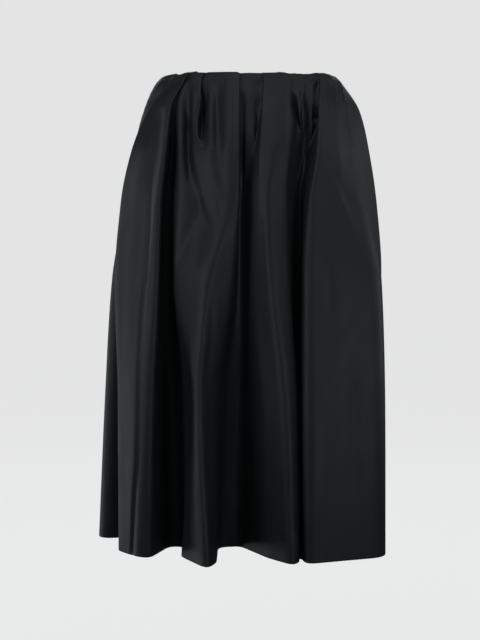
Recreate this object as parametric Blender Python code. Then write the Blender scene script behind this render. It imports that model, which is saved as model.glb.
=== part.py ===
"""A pleated satin skirt of midi length, filled out as if worn, with a stitched waist edge.

The skirt hangs round the Z axis: front towards -Y, the wearer's left side towards +X, the origin at the
centre of the waist opening. A plan section of the cloth is a string drawn taut round pegs, one peg for
each fold line; the pegs move and grow from the waist down to the hem, so that the flat laps of the
waist pleats open into round folds.
"""

import math

import bmesh
import bpy
import numpy as np
from mathutils import Matrix, Vector

MM = 0.001

# Driving sizes, in millimetres. Heights run down from the top edge.
TOP_EDGE = 6.0  # height of the top edge over the origin
LENGTH = 792.0
WAIST_SIZES = {"top": (300.0, 194.0), "stitch": (321.0, 205.0)}  # width, depth; the pleats swell at once
WAIST_HALF = 150.0  # the fold rows' places across the waist are measured on an ellipse this wide
WALL = 1.2
SEAM_GAP = 0.4

# The heights that the fold rows below are drawn at, and the radius that a fold has there.
LEVELS = {"top": 0, "stitch": 11, "yoke": 58, "hip": 130, "seat": 212, "thigh": 343, "knee": 538, "hem": 792}
FOLD_RADIUS = {"top": 1.6, "stitch": 1.75, "yoke": 4, "hip": 9, "seat": 13, "thigh": 18, "knee": 24, "hem": 24}
# The rows' places across are drawn on the photo's view and brought in by these shares, level by level.
SPREAD = {"yoke": 0.98, "hip": 0.985, "seat": 0.985, "thigh": 0.991, "knee": 0.996, "hem": 1.0}
PLAIN_RADIUS = 150.0  # how softly plain cloth bends between its folds, where it has the room
HARDLY_BENT = math.radians(20)
# How far along the section a fold is softened at each level, and the step that it is worked out in.
SOFTENING = {"top": 0.3, "stitch": 0.4, "yoke": 1.8, "hip": 4, "seat": 6, "thigh": 8.5, "knee": 10, "hem": 10}
SOFTENING_STEP = 0.8
ARC_POINTS = 13
PEG_ROOM = 0.24  # the share of the way to the next peg that a bend may take
LEAST_BEND = 0.02
TURN_BACK = 0.2 * math.pi  # a turn worked out as less than this the wrong way round is no turn
ROW_HEIGHTS = (0, 5.5, 11, 21, 34, 50, 68, 90, 115, 143, 176, 215, 262, 320, 395, 480, 575, 680, 792)
COLUMN_SPACING = 24.0  # between the mesh's columns on plain cloth
BESIDE_FOLD = 1.4  # a lap has a column this many fold radii to each side of its edge

# Each fold line, from the wearer's right side seam across the front. Kinds: "over" is the edge of a
# lap that lies on top, "under" the turn behind it, "run" a line on plain cloth. waist is its place
# across the waist; each later pair is (across, forward). None means that the line has died out there.
FRONT_FOLDS = (
    # name, kind, roll, waist, yoke, hip, seat, thigh, knee, hem
    ("right_seam", "run", 1, -149.5, (-186, -8), (-205, -20), (-218, -26), (-236, -30), (-244, -33), (-246, -34)),
    ("leaf", "run", 2, -142, (-185, 20), (-205, 22), (-220, 24), (-239, 30), (-251, 38), (-260, 46)),
    ("leaf_turn", "under", 1, -118, (-172, 43), (-199, 46), (-214, 54), (-222, 72), (-213, 84), (-207, 92)),
    ("strip_edge", "over", 1, -125, (-167, 53), (-195, 62), (-211, 70), (-227, 100), (-221, 115), (-220, 125)),
    ("strip", "run", 2, None, (-157, 66), (-184, 82), (-197, 95), (-199, 124), (-206, 140), (-203, 151)),
    ("strip_crease", "run", 1, None, (-147, 73), (-153, 90), (-168, 104), (-177, 126), (-185, 146), (-189, 158)),
    ("side_pleat", "over", 1, -101, (-134, 92), (-142, 116), (-155, 122), (-166, 140), (-176, 154), (-172, 166)),
    ("side_valley", "under", 1, -108, (-124, 72), (-130, 84), (-138, 86), (-141, 90), (-130, 92), (-119, 98)),
    ("big_left", "run", 1, None, (-114, 90), (-116, 113), (-118, 123), (-125, 132), (-95, 165), (-112, 178)),
    ("trough", "run", 1, None, (-103, 85), (-102, 107), (-77, 131), None, None, None),
    ("trough_rim", "run", 1, -87, (-94, 97), (-93, 117), None, None, None, None),
    ("drop_edge", "over", 1, -75, (-83, 102), None, None, None, None, None),
    ("drop_turn", "under", 1, -82, (-79, 88), None, None, None, None, None),
    ("drop_rim", "run", 1, None, (-66, 109), (-65, 134), (-50, 147), None, None, None),
    ("dip", "run", 1, None, (-54, 110), (-54, 131), None, None, None, None),
    ("big", "run", 2, -34, (-34, 119), (-34, 140), (-33, 152), (-68, 172), (-78, 198), (-74, 224)),
    ("centre_pleat", "over", 1, -15.8, (-15.8, 119), (-15.8, 138), (-17.5, 149), (-20, 158), (-47, 172), (-53, 204)),
    ("centre_turn", "under", 1, -26, (-22, 107), (-19, 121), (-15, 119), (-16, 116), (-40, 120), (-50, 107)),
    ("recess_turn", "under", 1, 31, (24, 108), (7, 121), (-2, 118), (0, 114), (-6, 101), (-12, 97)),
    ("ridge_edge", "over", 1, 21, (17.5, 119), (11, 134), (20, 148), (28, 161), (46, 188), (48, 204)),
    ("ridge", "run", 2, 44, (36, 122), (44, 142), (52, 152), (60, 166), (74, 188), (78, 211)),
    ("short_edge", "over", 1, 66, (60, 117), (66, 136), None, None, None, None),
    ("short_turn", "under", 1, 61.5, (76, 101), (80, 121), None, None, None, None),
    ("step", "run", 1, 79.5, None, None, None, None, None, None),
    ("thin_edge", "over", 1, 86.5, (86, 106), (91, 124), None, None, None, None),
    ("thin_turn", "under", 1, 80.5, (88, 92), None, None, None, None, None),
    ("rib", "run", 0.5, 104, (107, 95), None, None, None, None, None),
    ("panel_turn", "under", 1, 127, (123, 80), (98, 111), (84, 104), (86, 106), (85, 129), (84, 172)),
    ("panel_edge", "over", 1, 119, (118, 92), (110, 125), (98, 137), (90, 157), (89, 180), (93, 202)),
    ("panel", "run", 3, 134, (146, 77), (150, 101), (152, 118), (150, 151), (152, 172), (153, 186)),
    ("panel_corner", "run", 2, None, None, None, (190, 94), (211, 122), (217, 146), (219, 158)),
    ("left_seam", "run", 1, 145, (164.5, 50), (181, 64), (207, 53), (222, 8), (223, -6), (223, -12)),
)
# The same from the wearer's left side seam across the back.
BACK_FOLDS = (
    ("left_side", "run", 2, 149.9, (194, 0), (211, -4), (226, -20), (241, -50), (227, -74), (223, -84)),
    ("left_hip", "run", 1, 138, (174, -36), (194, -46), (206, -60), None, None, None),
    ("left_turn", "under", 1, 112, (141, -60), (158, -72), (167, -82), (177, -92), (180, -98), (182, -104)),
    ("left_edge", "over", 1, 119.5, (138, -80), (156, -98), (164, -116), (171, -140), (174, -158), (176, -168)),
    ("left_back_edge", "over", 1, 86, (100, -105), (112, -123), (120, -138), (132, -158), (138, -172), (142, -180)),
    ("left_back_turn", "under", 1, 96, (98, -90), (108, -104), (114, -112), (120, -120), (122, -126), (124, -130)),
    ("left_roll", "run", 2, 66, (78, -111), (88, -130), (94, -148), (100, -174), (104, -190), (104, -200)),
    ("left_roll_edge", "over", 1, 46, (50, -118), (56, -139), (60, -157), (64, -184), (68, -200), (68, -210)),
    ("left_roll_turn", "under", 1, 54, (45, -105), (43, -118), (43, -128), (44, -142), (46, -150), (46, -154)),
    ("zip_left", "run", 1, 16, (16, -115), (17, -128), (18, -139), (20, -155), (22, -169), (22, -179)),
    ("centre_back", "run", 1, 0, (0, -115), (0, -128), (0, -139), (0, -155), (0, -169), (0, -179)),
    ("zip_right", "run", 1, -16, (-16, -115), (-17, -128), (-18, -139), (-20, -155), (-22, -169), (-22, -179)),
    ("right_roll_turn", "under", 1, -58, (-50, -103), (-48, -117), (-50, -128), (-54, -144), (-58, -152), (-60, -152)),
    ("right_roll_edge", "over", 1, -50, (-56, -117), (-64, -136), (-70, -153), (-78, -176), (-84, -194), (-88, -206)),
    ("right_roll", "run", 2, -70, (-88, -105), (-100, -125), (-108, -140), (-118, -162), (-122, -180), (-126, -192)),
    ("back_turn", "under", 1, -101, (-112, -80), (-124, -96), (-132, -104), (-140, -110), (-146, -114), (-150, -112)),
    ("back_edge", "over", 1, -94, (-116, -94), (-134, -112), (-146, -124), (-162, -142), (-172, -156), (-180, -164)),
    ("right_flank", "run", 1, -107, None, None, None, None, None, None),
    ("right_turn", "under", 1, -129, (-150, -54), (-169, -64), (-180, -70), (-194, -76), (-203, -78), (-208, -76)),
    ("right_edge", "over", 1, -123, (-154, -64), (-177, -76), (-191, -86), (-211, -98), (-223, -104), (-230, -106)),
    ("right_side", "run", 1, -143, (-179, -34), (-199, -45), None, None, None, None),
)
FOLDS = FRONT_FOLDS + BACK_FOLDS
NAMES = [fold[0] for fold in FOLDS]

# The concealed zip at the centre back. Its slider and pull are drawn round the pull's pin, in a frame that
# leans with the cloth there: X across, Y out of the cloth, Z up along it.
CLEAR = 0.35  # between two pieces that touch or slide on the real skirt
ZIP_TOP, COIL_BOTTOM, ZIP_BOTTOM = 3.0, 217.0, 226.0
TAPE_WIDTH, TAPE_THICK = 22.0, 0.8
TAPE_BEHIND = WALL / 2 + 0.5  # from the middle of the cloth to the tape's near face
SLOT_BELOW, COIL_BELOW = 3.0, 1.0  # the tapes meet this far below the slider, and the coil starts below that
COIL_WIDTH, COIL_THICK = 5.0, 1.4
PIN_DOWN, PIN_OUT = 14.5, 3.5  # the pin's place below the top edge and off the cloth's face
PIN_RADIUS, PIN_WIDTH = 0.6, 4.4
BODY_WIDTH, BODY_THICK, BODY_TOP, BODY_BOTTOM = 6.0, 3.0, 4.5, -5.5
NECK_WIDTH, NECK_HALF = 1.2, 3.0
CROWN_WIDTH, CROWN_THICK, CROWN_HALF = 4.4, 1.0, 4.5
LUG_WIDTH, LUG_RADIUS = 1.6, 1.2
CHEEK_WIDTH, CHEEK_RADIUS = 1.2, 1.6
PULL_WIDTH, PULL_NECK, PULL_LENGTH, PULL_THICK = 6.2, 4.6, 24.0, 1.4
PULL_TAPER = 4.0  # the plate narrows to its neck in this length
PULL_ARC = 8  # sides of the pull's round end
COIL_BACK = 0.6  # the share of the coil's width that it keeps at its back
SUNK = 0.5  # how far one shape is let into the next
ZIP_GAP_OPEN, ZIP_GAP_CLOSED = 21.0, 34.0  # the seam is open down to the first and closed from the second
LEVEL_TILT = 3.0  # the slider leans as the cloth does this far above and below its pin


def monotone(heights, values, at):
    """A smooth curve through values that never swings past them (a monotone cubic)."""
    heights, values = np.asarray(heights, float), np.asarray(values, float)
    step = np.diff(heights)
    slope = np.diff(values) / step
    tangent = np.zeros(len(values))
    tangent[0], tangent[-1] = slope[0], slope[-1]
    for i in range(1, len(values) - 1):
        if slope[i - 1] * slope[i] > 0:
            near, far = 2 * step[i] + step[i - 1], step[i] + 2 * step[i - 1]
            tangent[i] = (near + far) / (near / slope[i - 1] + far / slope[i])
    i = int(np.clip(np.searchsorted(heights, at) - 1, 0, len(step) - 1))
    t = (at - heights[i]) / step[i]
    return (
        (1 + 2 * t) * (1 - t) ** 2 * values[i]
        + t * (1 - t) ** 2 * step[i] * tangent[i]
        + t * t * (3 - 2 * t) * values[i + 1]
        + t * t * (t - 1) * step[i] * tangent[i + 1]
    )


def on_waist(across, side, kind, width, depth, radius):
    """A peg's place on the waist's ellipse: a lap's edge lies outermost, its turn two layers in."""
    share = min(1.0, abs(across) / WAIST_HALF)
    point = np.array([math.copysign(share, across) * width / 2, -side * math.sqrt(1 - share**2) * depth / 2])
    inset = {"over": 1, "run": 0.5, "under": 3}[kind] * radius
    return point * (1 - inset / np.hypot(*point))


def taut_string(pegs, radii):
    """The closed string round the pegs, as dense points, and which point is the middle of each bend."""
    into = pegs - np.roll(pegs, 1, axis=0)
    out = np.roll(into, -1, axis=0)
    reach_in, reach_out = np.hypot(*into.T), np.hypot(*out.T)
    unit_in, unit_out = into / reach_in[:, None], out / reach_out[:, None]
    turning = unit_in[:, 0] * unit_out[:, 1] - unit_in[:, 1] * unit_out[:, 0]
    bend = np.arccos(np.clip((unit_in * unit_out).sum(axis=1), -1, 1))
    # Two pegs on opposite sides of the string may not reach each other, or no line passes between them.
    room = PEG_ROOM * np.minimum(reach_in, reach_out) / np.sin(np.maximum(bend, LEAST_BEND) / 2)
    # A peg that the string hardly bends at shrinks to a point, so that it never turns the wrong way round.
    radius = np.minimum(radii, room) * np.clip(bend / HARDLY_BENT, 0, 1)
    inward = unit_out - unit_in
    inward /= np.maximum(np.hypot(*inward.T), 1e-9)[:, None]
    centre = pegs + inward * radius[:, None]
    signed = np.where(turning >= 0, radius, -radius)
    between = np.roll(centre, -1, axis=0) - centre
    slant = np.clip((np.roll(signed, -1) - signed) / np.hypot(*between.T), -1, 1)
    leaving = np.arctan2(between[:, 1], between[:, 0]) - np.arcsin(slant)
    arriving = np.roll(leaving, 1)
    turn = (leaving - arriving) % (2 * math.pi)
    left = signed >= 0
    full = 2 * math.pi
    turn = np.where(left & (turn > full - TURN_BACK), turn - full, turn)
    turn = np.where(~left & (turn > TURN_BACK), turn - full, turn)
    angles = arriving[:, None] + turn[:, None] * np.linspace(0, 1, ARC_POINTS)
    spokes = np.stack([-np.sin(angles), np.cos(angles)], axis=-1)
    points = (centre[:, None] - signed[:, None, None] * spokes).reshape(-1, 2)
    return points, np.arange(len(pegs)) * ARC_POINTS + ARC_POINTS // 2


def along_polyline(points):
    """The length along a line of points up to each of them."""
    return np.concatenate([[0], np.cumsum(np.hypot(*np.diff(points, axis=0).T))])


def bend_radii(folds, radius):
    """Each fold line's own radius, where folds have this one."""
    return np.array([roll * (PLAIN_RADIUS if kind == "run" else radius) for _name, kind, roll, *_places in folds])


def pegs_at(level):
    """Every fold line's (x, y) at one level, in order round the skirt."""
    radius = FOLD_RADIUS[level]
    places = {}
    for i, (_name, kind, _roll, waist, *lower) in enumerate(FOLDS):
        side = 1 if i < len(FRONT_FOLDS) else -1
        place = waist if level in WAIST_SIZES else lower[list(LEVELS).index(level) - len(WAIST_SIZES)]
        if place is None:
            continue
        places[i] = on_waist(waist, side, kind, *WAIST_SIZES[level], radius) if level in WAIST_SIZES else place
    known = sorted(places)
    pegs = np.array([places[i] for i in known], float)
    if level not in WAIST_SIZES:
        pegs *= SPREAD[level], -1
    # A line that has died out lies on the string between its neighbours.
    points, middles = taut_string(pegs, bend_radii([FOLDS[i] for i in known], radius))
    points = np.vstack([points, points[:1]])
    along = along_polyline(points)
    last = len(FOLDS)
    marks = np.interp(
        range(last),
        [*known, known[0] + last],
        [*along[middles], along[-1] + along[middles[0]]],
    )
    pegs_and_rest = np.column_stack([np.interp(marks % along[-1], along, points[:, axis]) for axis in (0, 1)])
    pegs_and_rest[known] = pegs
    return pegs_and_rest


LEVEL_HEIGHTS = list(LEVELS.values())
LEVEL_PEGS = np.array([pegs_at(level) for level in LEVELS])


def softened(points, middles, reach):
    """The closed curve at even steps with its bends eased over a reach, and each bend's place along it."""
    closed = np.vstack([points, points[:1]])
    along = along_polyline(closed)
    count = int(along[-1] / SOFTENING_STEP)
    even = np.linspace(0, along[-1], count, endpoint=False)
    curve = np.column_stack([np.interp(even, along, closed[:, axis]) for axis in (0, 1)])
    steps = int(3 * reach / SOFTENING_STEP) + 1
    weights = np.exp(-0.5 * (np.arange(-steps, steps + 1) * SOFTENING_STEP / reach) ** 2)
    curve = sum(w * np.roll(curve, k - steps, axis=0) for k, w in enumerate(weights / weights.sum()))
    curve = np.vstack([curve, curve[:1]])
    eased = along_polyline(curve)
    return curve, eased, np.interp(along[middles], np.append(even, along[-1]), eased)


def section(down):
    """The cloth's plan section at a height: its points, their arc length, and each fold line's place on it."""
    pegs = np.array(
        [
            [monotone(LEVEL_HEIGHTS, LEVEL_PEGS[:, i, axis], down) for axis in (0, 1)]
            for i in range(len(FOLDS))
        ]
    )
    radius = monotone(LEVEL_HEIGHTS, list(FOLD_RADIUS.values()), down)
    reach = monotone(LEVEL_HEIGHTS, list(SOFTENING.values()), down)
    return softened(*taut_string(pegs, bend_radii(FOLDS, radius)), reach)


def panel_rows(first, last, first_gap, last_gap):
    """A panel's points, row by row from the top edge down, between two seam lines."""
    start, end = NAMES.index(first), NAMES.index(last)
    order = [i % len(FOLDS) for i in range(start, end + 1 if end > start else end + len(FOLDS) + 1)]
    sections = [section(down) for down in ROW_HEIGHTS]
    rows = []
    between = []
    for a, b in zip(order, order[1:]):
        longest = max((marks[b] - marks[a]) % along[-1] for _, along, marks in sections)
        laps = sum(FOLDS[i][1] != "run" for i in (a, b))
        between.append(max(0, round(longest / COLUMN_SPACING) - 1 - laps))
    for down, (points, along, marks) in zip(ROW_HEIGHTS, sections):
        girth = along[-1]
        roll = monotone(LEVEL_HEIGHTS, list(FOLD_RADIUS.values()), down)
        places = [marks[order[0]] + first_gap(down)]
        for (a, b), more in zip(zip(order, order[1:]), between):
            span = (marks[b] - marks[a]) % girth
            at_a, at_b = (FOLDS[i][1] != "run" for i in (a, b))
            near = min(BESIDE_FOLD * roll, span / (more + 1 + at_a + at_b))
            from_a, to_b = near * at_a, span - near * at_b
            inner = list(np.linspace(from_a, to_b, more + 2)[1:-1])
            if at_a:
                inner = [from_a] + inner
            if at_b:
                inner = inner + [to_b]
            places.extend(marks[a] + np.array(inner))
            places.append(marks[a] + span)
        places[-1] -= last_gap(down)
        places = np.array(places) % girth
        x, y = (np.interp(places, along, points[:, axis]) for axis in (0, 1))
        z = np.full(len(places), TOP_EDGE - down)
        rows.append(np.column_stack([x, y, z]) * MM)
    return rows


def side_gap(down):
    return SEAM_GAP / 2


def zip_gap(down):
    """Half of the centre back gap, which widens round the slider's neck."""
    wide = NECK_WIDTH / 2 + CLEAR
    near = np.clip((ZIP_GAP_CLOSED - down) / (ZIP_GAP_CLOSED - ZIP_GAP_OPEN), 0, 1)
    return SEAM_GAP / 2 + (wide - SEAM_GAP / 2) * near


def material(name, colour, roughness, metallic=0.0):
    made = bpy.data.materials.new(name)
    made.use_nodes = True
    surface = made.node_tree.nodes["Principled BSDF"]
    surface.inputs["Base Color"].default_value = (*colour, 1)
    surface.inputs["Roughness"].default_value = roughness
    surface.inputs["Metallic"].default_value = metallic
    return made


def new_object(name, mesh, finish, parent):
    made = bpy.data.objects.new(name, mesh)
    made.data.materials.append(finish)
    made.parent = parent
    bpy.context.scene.collection.objects.link(made)
    return made


def cloth_panel(name, rows, finish, parent):
    """A sheet of cloth through the rows, given its wall half to each side."""
    shape = bmesh.new()
    columns = len(rows[0])
    bmesh.ops.create_grid(shape, x_segments=columns - 1, y_segments=len(rows) - 1, size=1)
    shape.verts.ensure_lookup_table()
    places = np.concatenate(rows)
    for vert, place in zip(shape.verts, places):
        vert.co = place
    # The grid's faces point up while its rows run up the page, so they point into the skirt here.
    bmesh.ops.reverse_faces(shape, faces=shape.faces)
    mesh = bpy.data.meshes.new(name)
    shape.to_mesh(mesh)
    shape.free()
    mesh.shade_smooth()
    panel = new_object(name, mesh, finish, parent)
    wall = panel.modifiers.new("Wall", "SOLIDIFY")
    wall.thickness = WALL * MM
    wall.offset = 0
    return panel


def mesh_of(name, build):
    """A mesh made by a function that fills a bmesh, its faces turned outwards."""
    shape = bmesh.new()
    build(shape)
    bmesh.ops.recalc_face_normals(shape, faces=shape.faces)
    mesh = bpy.data.meshes.new(name)
    shape.to_mesh(mesh)
    shape.free()
    return mesh


def block(name, low, high):
    """A box between two corners, in millimetres."""

    def build(shape):
        low_corner, size = Vector(low), Vector(high) - Vector(low)
        for vert in bmesh.ops.create_cube(shape, size=1)["verts"]:
            share = vert.co + Vector((0.5, 0.5, 0.5))
            vert.co = (low_corner + Vector(a * b for a, b in zip(size, share))) * MM

    return mesh_of(name, build)


def rod(name, radius, low, high, sides=20):
    """A round rod along X through the pin's axis, in millimetres."""

    def build(shape):
        turned = Matrix.Rotation(math.pi / 2, 4, "Y")
        placed = Matrix.Translation(Vector(((low + high) / 2, 0, 0)) * MM) @ turned
        bmesh.ops.create_cone(
            shape,
            cap_ends=True,
            segments=sides,
            radius1=radius * MM,
            radius2=radius * MM,
            depth=(high - low) * MM,
            matrix=placed,
        )

    return mesh_of(name, build)


def prism(name, outline, low, high):
    """An outline of (x, z) points, pushed through from one y to another, in millimetres."""

    def build(shape):
        face = shape.faces.new([shape.verts.new(Vector((x, low, z)) * MM) for x, z in outline])
        pushed = bmesh.ops.extrude_face_region(shape, geom=[face])["geom"]
        moved = [item for item in pushed if isinstance(item, bmesh.types.BMVert)]
        bmesh.ops.translate(shape, verts=moved, vec=Vector((0, high - low, 0)) * MM)

    return mesh_of(name, build)


def assembled(base, joined, cut=()):
    """The base with some shapes united to it and others cut out of it, each a hidden tool beside it."""
    steps = [(mesh, "UNION") for mesh in joined] + [(mesh, "DIFFERENCE") for mesh in cut]
    for mesh, operation in steps:
        tool = new_object(mesh.name + "_tool", mesh, base.data.materials[0], base.parent)
        tool.location, tool.rotation_euler = base.location, base.rotation_euler
        tool.hide_render = True
        tool.display_type = "WIRE"
        step = base.modifiers.new(mesh.name, "BOOLEAN")
        step.operation = operation
        step.object = tool
    return base


def back_cloth():
    """The middle of the cloth at both zip lines and the centre back, for each row: (row, line, x and y)."""
    lines = [NAMES.index(name) for name in ("zip_right", "centre_back", "zip_left")]
    rows = []
    for down in ROW_HEIGHTS:
        points, along, marks = section(down)
        rows.append([[np.interp(marks[i], along, points[:, axis]) for axis in (0, 1)] for i in lines])
    return np.array(rows)


BACK_CLOTH = back_cloth()


def back_face(down, across=0.0):
    """How far back the middle of the cloth lies near the centre back."""
    at_rows = [np.interp(across, row[:, 0], row[:, 1]) for row in BACK_CLOTH]
    return np.interp(down, ROW_HEIGHTS, at_rows)


def back_lean():
    """The lean of the cloth at the slider, as a turn about X."""
    return math.atan2(back_face(PIN_DOWN + LEVEL_TILT) - back_face(PIN_DOWN - LEVEL_TILT), 2 * LEVEL_TILT)


def behind_seam(across, down, deep):
    """A point along the inside of the back seam, this deep behind the cloth's middle."""
    return Vector((across, back_face(down, across) - deep, TOP_EDGE - down)) * MM


def tape_sheet(name, across, downs, slot_end):
    """The tapes as one sheet, with the middle cells left out above the slot's end."""

    def build(shape):
        deep = TAPE_BEHIND + TAPE_THICK / 2
        grid = {(x, down): shape.verts.new(behind_seam(x, down, deep)) for x in across for down in downs}
        for left, right in zip(across, across[1:]):
            for upper, lower in zip(downs, downs[1:]):
                if lower <= slot_end and abs(left + right) < COIL_WIDTH:
                    continue
                shape.faces.new([grid[spot] for spot in ((left, upper), (left, lower), (right, lower), (right, upper))])
        bmesh.ops.delete(shape, geom=[vert for vert in shape.verts if not vert.link_faces], context="VERTS")

    return mesh_of(name, build)


def coil_strip(name, downs):
    """The closed coil, as a ridge let into the tapes."""

    def build(shape):
        half, near, far = COIL_WIDTH / 2, TAPE_BEHIND + TAPE_THICK / 2, TAPE_BEHIND + TAPE_THICK + COIL_THICK
        corners = ((-half, near), (half, near), (half * COIL_BACK, far), (-half * COIL_BACK, far))
        rings = [[shape.verts.new(behind_seam(x, down, deep)) for x, deep in corners] for down in downs]
        for upper, lower in zip(rings, rings[1:]):
            for i in range(len(corners)):
                shape.faces.new((upper[i], upper[i - 1], lower[i - 1], lower[i]))
        shape.faces.new(rings[0])
        shape.faces.new(rings[-1])

    return mesh_of(name, build)


def zip_tape(finish, parent):
    """The two tapes, parted above for the slider, and the closed coil below it, along the cloth's inside."""
    half, slot = TAPE_WIDTH / 2, BODY_WIDTH / 2 + CLEAR
    slot_end = PIN_DOWN - BODY_BOTTOM + SLOT_BELOW
    between = [down for down in ROW_HEIGHTS if ZIP_TOP < down < ZIP_BOTTOM]
    downs = sorted({ZIP_TOP, slot_end, ZIP_BOTTOM, *between})
    tape = new_object("zip_tape", tape_sheet("zip_tape", (-half, -slot, slot, half), downs, slot_end), finish, parent)
    wall = tape.modifiers.new("Wall", "SOLIDIFY")
    wall.thickness = TAPE_THICK * MM
    wall.offset = 0
    top = slot_end + COIL_BELOW
    coil = coil_strip("coil", [top, *(down for down in between if top < down < COIL_BOTTOM), COIL_BOTTOM])
    return assembled(tape, [coil])


def at_pin(item):
    """Moves a piece drawn round the pin to its place at the centre back."""
    lean = back_lean()
    out = WALL / 2 + PIN_OUT
    item.location = (
        Vector((0, back_face(PIN_DOWN) + out * math.cos(lean), TOP_EDGE - PIN_DOWN + out * math.sin(lean))) * MM
    )
    item.rotation_euler = (lean, 0, 0)
    return item


def zip_slider(finish, parent):
    """The slider: its body inside, its crown and the pull's pin outside, joined by a neck through the seam."""
    face, inside = -PIN_OUT, -PIN_OUT - WALL - CLEAR
    half = BODY_WIDTH / 2
    body = block("zip_slider", (-half, inside - BODY_THICK, BODY_BOTTOM), (half, inside, BODY_TOP))
    neck = NECK_WIDTH / 2
    crown = CROWN_WIDTH / 2
    lug = LUG_WIDTH / 2
    pieces = [
        block("neck", (-neck, inside - SUNK, -NECK_HALF), (neck, face + CLEAR + SUNK, NECK_HALF)),
        block("crown", (-crown, face + CLEAR, -CROWN_HALF), (crown, face + CLEAR + CROWN_THICK, CROWN_HALF)),
        block("lug", (-lug, face + CLEAR + SUNK, -LUG_RADIUS), (lug, 0, LUG_RADIUS)),
        rod("lug_top", LUG_RADIUS, -lug, lug),
        rod("pin", PIN_RADIUS, -PIN_WIDTH / 2, PIN_WIDTH / 2),
    ]
    return assembled(at_pin(new_object("zip_slider", body, finish, parent)), pieces)


def zip_pull(finish, parent):
    """The pull tab: a tapered plate with two cheeks that turn on the slider's pin."""
    thick, shoulder = PULL_THICK / 2, -CHEEK_RADIUS - CLEAR
    near, far = LUG_WIDTH / 2 + CLEAR, LUG_WIDTH / 2 + CLEAR + CHEEK_WIDTH
    tip = PULL_WIDTH / 2
    outline = [(-far, shoulder), (-PULL_NECK / 2, shoulder - PULL_TAPER)]
    for i in range(PULL_ARC + 1):
        angle = math.pi * (1 + i / PULL_ARC)
        outline.append((tip * math.cos(angle), tip - PULL_LENGTH + tip * math.sin(angle)))
    outline += [(PULL_NECK / 2, shoulder - PULL_TAPER), (far, shoulder)]
    plate = prism("zip_pull", outline, -thick, thick)
    pieces = []
    for side, name in ((-1, "right"), (1, "left")):
        low, high = sorted((side * near, side * far))
        pieces.append(block("strap_" + name, (low, -thick, shoulder - SUNK), (high, thick, 0)))
        pieces.append(rod("cheek_" + name, CHEEK_RADIUS, low, high))
    pin_hole = rod("pin_hole", PIN_RADIUS + CLEAR, -far - 1, far + 1)
    return assembled(at_pin(new_object("zip_pull", plate, finish, parent)), pieces, [pin_hole])


def main():
    for item in list(bpy.data.objects):
        bpy.data.objects.remove(item)
    satin = material("black_satin", (0.012, 0.014, 0.016), 0.38)
    tape = material("zip_tape", (0.012, 0.013, 0.014), 0.8)
    metal = material("black_metal", (0.03, 0.032, 0.034), 0.35, 1.0)
    skirt = bpy.data.objects.new("skirt", None)
    bpy.context.scene.collection.objects.link(skirt)
    cloth_panel("front_panel", panel_rows("right_seam", "left_seam", side_gap, side_gap), satin, skirt)
    cloth_panel("back_left_panel", panel_rows("left_seam", "centre_back", side_gap, zip_gap), satin, skirt)
    cloth_panel("back_right_panel", panel_rows("centre_back", "right_seam", zip_gap, side_gap), satin, skirt)
    zip_tape(tape, skirt)
    zip_slider(metal, skirt)
    zip_pull(metal, skirt)


main()
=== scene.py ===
"""A pleated black satin skirt of midi length, filled out as if worn, in a pale studio."""

import math

import bmesh
import bpy
import numpy as np
from mathutils import Matrix, Vector


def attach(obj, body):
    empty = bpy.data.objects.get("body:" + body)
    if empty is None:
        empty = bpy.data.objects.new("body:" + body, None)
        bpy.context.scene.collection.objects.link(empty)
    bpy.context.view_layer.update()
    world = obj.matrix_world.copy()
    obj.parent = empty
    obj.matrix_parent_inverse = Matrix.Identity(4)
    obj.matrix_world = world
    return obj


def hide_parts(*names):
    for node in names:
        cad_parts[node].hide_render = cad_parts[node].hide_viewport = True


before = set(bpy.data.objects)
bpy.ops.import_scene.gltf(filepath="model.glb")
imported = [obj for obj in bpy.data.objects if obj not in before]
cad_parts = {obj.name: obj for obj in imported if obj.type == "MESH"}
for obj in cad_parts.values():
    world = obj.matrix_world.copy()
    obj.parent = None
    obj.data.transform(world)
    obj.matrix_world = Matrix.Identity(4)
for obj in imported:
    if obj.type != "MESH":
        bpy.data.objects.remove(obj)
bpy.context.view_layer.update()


# ------------------------------------------------------------------ Front panel
# The front is one flared piece of heavy black duchesse satin. Its top is folded into uneven pleats, held
# by the turned and stitched waist edge, and below the hips the flat laps open into deep round folds.

MM = 0.001
TOP_EDGE = 6.0  # height of the top edge over the origin, in millimetres as all the cloth's sizes are
LENGTH = 792.0
WAIST_SIZES = {"top": (300.0, 194.0), "stitch": (321.0, 205.0)}  # width, depth; the pleats swell at once
WAIST_HALF = 150.0  # the fold rows' places across the waist are measured on an ellipse this wide
LEVELS = {"top": 0, "stitch": 11, "yoke": 58, "hip": 130, "seat": 212, "thigh": 343, "knee": 538, "hem": 792}
# How far the rows' places across are brought in, how round the folds are, and how soft every bend is.
SPREAD = {"yoke": 0.98, "hip": 0.985, "seat": 0.985, "thigh": 0.991, "knee": 0.996, "hem": 1}
FOLD_RADIUS = {
    "top": 1.5, "stitch": 1.6, "yoke": 2.4, "hip": 5, "seat": 8, "thigh": 12, "knee": 15, "hem": 17,
}
SOFTENING = {
    "top": 0.3, "stitch": 0.4, "yoke": 0.9, "hip": 1.7, "seat": 2.8, "thigh": 4.2, "knee": 5.5, "hem": 6.5,
}
SOFTENING_STEP = 0.8
PLAIN_RADIUS = 150.0
LAYERS_IN = {"over": 1, "run": 0.5, "under": 3}  # fold radii in from the waist's ellipse
ARC_POINTS = 13
HARDLY_BENT = math.radians(20)
BEND_ROOM, LEAST_BEND = 0.24, 0.02  # of the way to the nearer peg; in radians
# A turn counted as more than this, at a left bend and at a right one, is really one the other way round.
LEFT_BEND_MOST, RIGHT_BEND_MOST = 1.8 * math.pi, 0.2 * math.pi

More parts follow.
